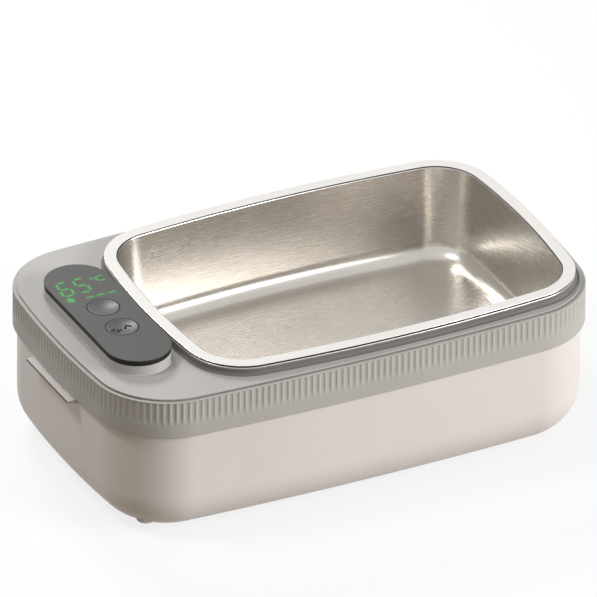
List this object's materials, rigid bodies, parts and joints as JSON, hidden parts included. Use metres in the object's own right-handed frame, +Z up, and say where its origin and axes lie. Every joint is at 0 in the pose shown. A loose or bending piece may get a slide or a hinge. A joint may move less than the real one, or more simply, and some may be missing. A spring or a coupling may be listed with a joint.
{
  "type": "electric lunch box",
  "caption": "Cordless electric lunch box: white tub with a ribbed grey collar, an open lift-out steel tray, and a control panel with push buttons beside it.",
  "frame": {"origin": "centre of the footprint, on the surface that the feet stand on", "axes": "+X along the length, away from the controls; +Y towards the back, where the power inlet is; +Z up"},
  "size_m": [0.268, 0.1606, 0.0866],
  "materials": {
    "shell_plastic": "satin warm white moulding",
    "collar_plastic": "fine-grained light grey moulding",
    "panel_plastic": "smooth mid grey",
    "panel_film": "smooth mid grey printed face, lets the display glow through",
    "button_plastic": "satin mid grey",
    "seal_rubber": "matt black",
    "foot_rubber": "matt black",
    "tray_steel": "brushed stainless steel",
    "well_steel": "pressed stainless steel",
    "zinc_steel": "zinc plated",
    "felt": "glass felt",
    "heater_foil": "etched foil between films",
    "nut_brass": "plain",
    "sensor_case": "dark anodised",
    "fuse_body": "fired white",
    "circuit_board": "green solder mask",
    "chip_plastic": "moulded black",
    "display_plastic": "black light box with green segments",
    "cell_wrap": "blue shrink wrap over steel cans",
    "holder_plastic": "moulded black",
    "strip_nickel": "nickel strip",
    "inlet_steel": "plated",
    "lead_red": "insulated",
    "lead_yellow": "insulated",
    "lead_white": "insulated"
  },
  "bodies": {
    "case": {"base_shell": "shell_plastic", "collar": "collar_plastic", "case_seal": "seal_rubber", "heating_well": "well_steel", "tray_seal": "seal_rubber", "well_wrap": "felt", "heater_film": "heater_foil", "felt_pad": "felt", "clamp_plate": "zinc_steel", "clamp_nuts": "nut_brass", "standoffs": "zinc_steel", "thermistor": "sensor_case", "thermal_fuse": "fuse_body", "control_panel": "panel_plastic", "panel_seal": "seal_rubber", "panel_overlay": "panel_film", "control_board": "circuit_board", "board_parts": "chip_plastic", "key_switches": "chip_plastic", "display_block": "display_plastic", "buzzer": "chip_plastic", "board_screws": "zinc_steel", "battery_cells": "cell_wrap", "cell_holder": "holder_plastic", "cell_strips": "strip_nickel", "protection_board": "circuit_board", "charge_board": "circuit_board", "power_inlet": "inlet_steel", "heater_leads": "lead_red", "battery_leads": "lead_red", "charge_leads": "lead_yellow", "sensor_lead": "lead_white", "case_screws": "zinc_steel", "feet": "foot_rubber"},
    "tray": {"food_tray": "tray_steel"},
    "power_key": {"power_button": "button_plastic"},
    "mode_key": {"mode_button": "button_plastic"}
  },
  "joints": [
    {"name": "tray_lift", "type": "slide", "parent": "case", "child": "tray", "axis": [0, 0, 1], "range_m": [0, 0.06]},
    {"name": "power_press", "type": "slide", "parent": "case", "child": "power_key", "axis": [0, 0, -1], "range_m": [0, 0.0006], "stiffness_N_per_m": 1500, "springref_m": -0.0002},
    {"name": "mode_press", "type": "slide", "parent": "case", "child": "mode_key", "axis": [0, 0, -1], "range_m": [0, 0.0006], "stiffness_N_per_m": 1500, "springref_m": -0.0002}
  ]
}
